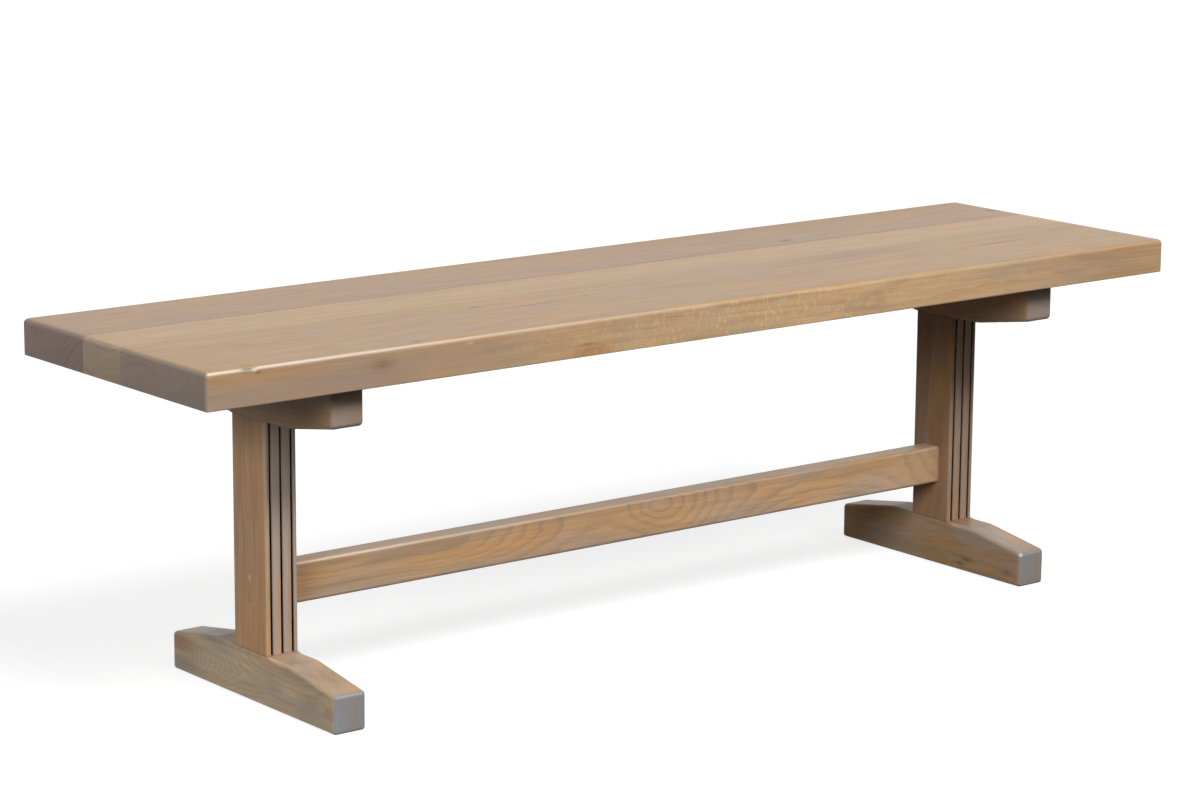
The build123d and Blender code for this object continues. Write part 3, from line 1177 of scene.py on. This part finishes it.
@dataclass
class Trestle:
    """One trestle: foot, upright, bearer and their fixings.

    Attributes:
        side: Name of the side.
        middle: Where it stands along the seat.
        outward: Plus or minus 1, the way out along X.
    """

    side: str
    middle: float
    outward: int

    @property
    def left_face(self) -> float:
        """Where the faces that look left lie along X, which the camera sees on both trestles."""
        return self.middle - TIMBER / 2

    @property
    def joint_shade(self) -> Spot:
        """Painted shade: the dark line round the upright where it stands on the foot."""
        return Spot((self.middle, 0, FOOT_TOP), (90, 90, 0.9), "4f3d2e", 0.55)

    def groove_wash_and_shade(self, wash: str, share: float) -> tuple[list[Spot], list[Spot]]:
        """Stains down the three grooves, and painted shade in them, front and back.

        Grey wash lies beside each groove and turns warm before the next one. Painted shade darkens the
        grooves' walls and floors nearly to black.

        Args:
            wash: Colour of the wash.
            share: Its strength.

        Returns:
            The wash beside the grooves, and the painted shade in them.
        """
        pitch, beside, groove_shade = 14.67, [], []
        for x in (self.middle - pitch, self.middle, self.middle + pitch):
            for way in (-1, 1):
                beside.append(Spot((x + 4.4, way * 35, 200), (3.8, 5, 600), wash, share))
                # Painted shade, nearly black, down each groove's walls and floor
                groove_shade.append(Spot((x, way * 31.5, 200), (1.9, 2.9, 600), "0a0603", 2.2))
        return beside, groove_shade

    def left_oaks(self) -> tuple[WashedOak, WashedOak, WashedOak]:
        """Chooses the left trestle's finishes. The foot's rings run out in nested points behind a brown knot.

        Returns:
            The finishes of foot, upright and bearer.
        """
        x, face = self.middle, self.left_face
        # Swirls on the foot's outer face: place along and up, reach along and up, and swell
        swirls = [Spot((face, y, z), (60, wide, tall), swell=swell) for y, z, wide, tall, swell in (
            (145, 26, 47, 32, 28.9), (82, 28, 41, 19, 11.3), (-28, 28, 112, 9, 9.0),
            (-68, 63, 152, 25, -30.2), (-110, -6, 246, 22, -23.4), (-50, 28, 250, 11, -10.3))]
        foot = WashedOak(
            "washed_oak_foot_left", Run.ALONG_Y, (face - 70.5, 0, 20), ring=3.0, phase=0.11, waver=1.5,
            uneven=0.0, body="d3bd9c", line="8f8474", contrast=0.43, ripple=1.8, wash=0.4, end="898b8f",
            ends=0.9, end_rings=0.1, seed=20, spots=(
                *swirls,
                Spot((face, 158, 38), (30, 34, 16), "9a6c48", 0.6),
                Spot((face, 150, 10), (30, 40, 10), "85776c", 0.5),
                Spot((face, -8, 28), (20, 40, 6), "c7a878", 0.4),
                Spot((face, -128, 24), (20, 26, 12), "8f8a84", 0.45),
                # Painted shade, greyed like a sheen, on the crown behind the upright
                Spot((x, 110, 58), (40, 60, 6), "63656a", 0.78),
                Spot((x, -115, 54), (32, 80, 14), "b28c69", 0.8, under=True),
                Spot((x, -48, 62), (40, 20, 5), "e2bd9c", 0.8), self.joint_shade),
            end_spots=(Spot((x + 4, -175, 22), (7, 8, 40), "a08468", 0.28),
                       Spot((x - 14, -175, 10), (9, 8, 14), "9a9eaa", 0.35)))
        beside, groove_shade = self.groove_wash_and_shade("a39c98", 0.8)
        post = WashedOak(
            "washed_oak_upright_left", Run.ALONG_Z, (x + 60, 120, 200), (0.6, 0.5), body="c69a70",
            line="a57950", contrast=0.3, wash=0.15, tones=0.35, seed=620, spots=(
                Spot((x, -37, 200), (60, 6, 600), "b59678", 0.6, under=True), *beside,
                # A painted pool of light over the upper front, which lifts the seat's shade there
                Spot((x, -41, 310), (60, 7, 110), "f6ead8", 0.95), *groove_shade,
                # Painted shade on the upper part of the sides, under the bearer
                Spot((x, 5, 350), (60, 32, 50), "80552f", 0.55), self.joint_shade))
        bearer = WashedOak(
            "washed_oak_bearer_left", Run.ALONG_Y, (x + 90, 0, 375), (1, -2), body="a88a68", end="978a82",
            end_rings=0.1, seed=320, spots=(Spot((x, -135, 385), (60, 28, 40), "a88058", 0.35),),
            end_spots=(Spot((x + 14, -175, 378), (12, 8, 30), "94785a", 0.35),))
        return foot, post, bearer

    def right_oaks(self) -> tuple[WashedOak, WashedOak, WashedOak]:
        """Chooses the right trestle's finishes: all browner, and the foot streaked low on its inner side.

        Returns:
            The finishes of foot, upright and bearer.
        """
        x, face = self.middle, self.left_face
        foot = WashedOak(
            "washed_oak_foot_right", Run.ALONG_Y, (face + 90, 0, -40), (2, 3), ring=3.4, body="a88359",
            line="82664a", contrast=0.4, ripple=1.0, wash=0.4, end="858684", ends=0.9, end_rings=0.15,
            seed=50, spots=(
                # Two strokes of a dark streak that climbs to the rear, and a fainter one near the front end
                Spot((face, -60, 10), (14, 9, 3), "4e3828", 0.6, 3),
                Spot((face, -74, 17), (14, 12, 3.5), "4e3828", 0.55, 3),
                Spot((face, -152, 16), (14, 10, 4), "5c4434", 0.45, 3),
                Spot((face, 40, 40), (20, 40, 12), "b5834f", 0.35),
                Spot((face, -120, 34), (20, 30, 8), "b07c48", 0.35),
                Spot((face, 80, 15), (20, 50, 12), "87776b", 0.4),
                Spot((x, -115, 56), (34, 90, 14), "9c9795", 0.85, under=True),
                Spot((face, 10, 14), (14, 60, 8), "7c6553", 0.3), self.joint_shade),
            end_spots=(Spot((x + 8, -175, 22), (5, 8, 40), "9a7650", 0.45),
                       Spot((x - 4, -175, 20), (6, 8, 30), "80858c", 0.35),
                       # A painted highlight on the upper left corner of the front end
                       Spot((x - 19.5, -173.5, 43.5), (2.6, 2.6, 2), "f2f0ec", 0.6)))
        beside, groove_shade = self.groove_wash_and_shade("8c8680", 0.65)
        post = WashedOak(
            "washed_oak_upright_right", Run.ALONG_Z, (x + 70, 110, 200), (0.8, -5), body="987451",
            line="7c5839", wash=0.2, tones=0.35, seed=650, spots=(
                # Painted shade on the top of the left face, under the seat
                *beside, *groove_shade, self.joint_shade, Spot((face, 0, 330), (12, 60, 40), "6b4a2c", 0.4)))
        bearer = WashedOak("washed_oak_bearer_right", Run.ALONG_Y, (x + 90, 0, 375), (1, -2), body="a88562",
                           end="8f837b", end_rings=0.1, seed=350)
        return foot, post, bearer

    def build(self, steel: bpy.types.Material) -> None:
        """Builds the trestle.

        Args:
            steel: The material of its screws and washers.
        """
        left = self.outward < 0
        foot, post, bearer = self.left_oaks() if left else self.right_oaks()
        Rail(f"foot_{self.side}", self.middle, foot, height=FOOT_TOP, end_height=46.5, base=4).build()
        Rail(f"bearer_{self.side}", self.middle, bearer, height=SEAT_LOW - BEARER_LOW, end_height=47.5,
             hangs=SEAT_LOW).build()
        Upright(f"upright_{self.side}", self.middle, self.outward, post).build()
        plugs = {} if left else {"plug_body": "936f4c", "plug_line": "846141"}
        Fixings(self.side, self.middle, self.outward, **plugs).build(steel)


@dataclass(frozen=True)
class Softbox:
    """A large soft lamp, far enough off to light the whole bench evenly.

    Attributes:
        name: Its name.
        toward: Direction from the bench to the lamp.
        strength: Its strength in watts per square metre.
        size: Angle that it fills, in degrees.
        shines: Whether the finish mirrors it.
        lights: Whether it lights the wood as well.
    """

    name: str
    toward: tuple[float, float, float]
    strength: float
    size: float
    shines: bool = True
    lights: bool = True

    def hang(self) -> None:
        """Hangs the lamp."""
        data = bpy.data.lights.new(self.name, "SUN")
        data.energy, data.angle = self.strength, math.radians(self.size)
        lamp = placed(self.name, data)
        lamp.rotation_euler = Vector(self.toward).to_track_quat("Z", "Y").to_euler()
        lamp.visible_glossy, lamp.visible_diffuse = self.shines, self.lights


@dataclass
class Studio:
    """The camera at the photograph's angle, the lamps and the pale floor.

    Attributes:
        lens: Focal length for a 36 mm sensor.
        yaw: How far the camera stands to the left of the front, in degrees.
        pitch: How far it looks down.
        roll: How far it is turned about its own axis.
        distance: From the point that it looks at.
        aim: That point: metres to the right, up and above the floor.
        lamps: A main lamp high in front, a weaker one low on the left, a little fill from the right and from
            behind, and a small one that only draws the shine along the front edges.
        room: Strength of the light from the rest of the room.
        floor: Colour of the floor where it is seen.
        floor_glow: Light added to the floor where it is seen, which brings it up to white.
        floor_bounce: Colour of the floor as it lights the bench: the deep shade under the seat keeps it dark.
        floor_half: Half the floor's size in metres.
    """

    lens: float = 108.298
    yaw: float = 38.347
    pitch: float = 12.041
    roll: float = 0.3984
    distance: float = 4.56372
    aim: tuple[float, float, float] = (-0.03744, 0.07368, 0.215625)
    lamps: tuple[Softbox, ...] = (
        Softbox("softbox_front", (0.0, -0.676, 0.737), 2.45, 21),
        Softbox("softbox_left", (-0.853, -0.40, 0.341), 1.48, 22),
        Softbox("softbox_right", (0.50, -0.62, 0.60), 0.45, 18, shines=False),
        Softbox("softbox_edge", (0.42, -0.618, 0.664), 5.0, 18, lights=False),
        Softbox("softbox_rear", (0.62, 0.76, 0.17), 1.3, 50, shines=False),
    )
    room: float = 0.025
    floor: str = "959595"
    floor_glow: float = 0.80
    floor_bounce: str = "454545"
    floor_half: float = 40

    def camera(self) -> None:
        """Places the camera: its back, right and up directions come from its yaw, pitch and roll."""
        a, e, r = (math.radians(v) for v in (self.yaw, self.pitch, self.roll))
        back = Vector((-math.sin(a) * math.cos(e), -math.cos(a) * math.cos(e), math.sin(e)))
        right = Vector((math.cos(a), -math.sin(a), 0))
        up = back.cross(right)
        target = Vector((0, 0, self.aim[2])) + self.aim[0] * right + self.aim[1] * up
        turned_right = math.cos(r) * right + math.sin(r) * up
        turned_up = math.cos(r) * up - math.sin(r) * right
        data = bpy.data.cameras.new("camera")
        data.lens, data.sensor_width = self.lens, 36
        data.clip_end = 100
        camera = placed("camera", data)
        camera.matrix_world = Matrix.Translation(target + self.distance * back) @ Matrix(
            (turned_right, turned_up, back)).transposed().to_4x4()
        bpy.context.scene.camera = camera

    def shown(self, nodes: Nodes) -> bpy.types.Node:
        """Marks the rays from the camera, off a shine or through glass, which see a white room.

        Args:
            nodes: The nodes of the room or of the floor.

        Returns:
            A node that is 1 for those rays.
        """
        paths = nodes.add("LightPath").outputs
        seen = nodes.add("Math", paths["Is Camera Ray"], paths["Is Glossy Ray"], operation="MAXIMUM")
        return nodes.add("Math", seen, paths["Is Transmission Ray"], operation="MAXIMUM")

    def room_light(self) -> None:
        """Makes the room: white where it is seen, and only a little light of its own."""
        world = bpy.data.worlds.new("studio")
        bpy.context.scene.world = world
        nodes = Nodes(world)
        light, white = (nodes.add("Background", WHITE, strength) for strength in (self.room, 1.0))
        nodes.add("OutputWorld", nodes.add("MixShader", self.shown(nodes), light, white))

    def ground(self) -> None:
        """Lays the floor: it shows white and keeps the bench's shadow."""
        mesh = bpy.data.meshes.new("floor")
        corners = np.insert(rectangle_corners(-1, 1, -1, 1)[0] * self.floor_half, 2, 0, axis=1)
        mesh.from_pydata(corners.tolist(), [], [(0, 1, 2, 3)])
        floor = placed("floor", mesh)
        material = bpy.data.materials.new("pale_floor")
        nodes = Nodes(material)
        bounce, pale = (nodes.add("BsdfDiffuse", linear(code)) for code in (self.floor_bounce, self.floor))
        glow = nodes.add("Emission", WHITE, self.floor_glow)
        white = nodes.add("AddShader", pale, glow)
        nodes.add("OutputMaterial", nodes.add("MixShader", self.shown(nodes), bounce, white))
        mesh.materials.append(material)

    def build(self) -> None:
        """Builds the studio."""
        self.camera()
        for lamp in self.lamps:
            lamp.hang()
        self.room_light()
        self.ground()
        bpy.context.scene.view_settings.view_transform = "Standard"


def main() -> None:
    """Builds the studio and every piece of the bench."""
    logging.basicConfig(level=logging.INFO, format="%(message)s")
    Studio().build()
    steel = ZincSteel().material()
    Seat().build()
    Stretcher().build()
    Trestle("left", -547.5, -1).build(steel)
    Trestle("right", 547.5, 1).build(steel)


if __name__ == "__main__":
    main()
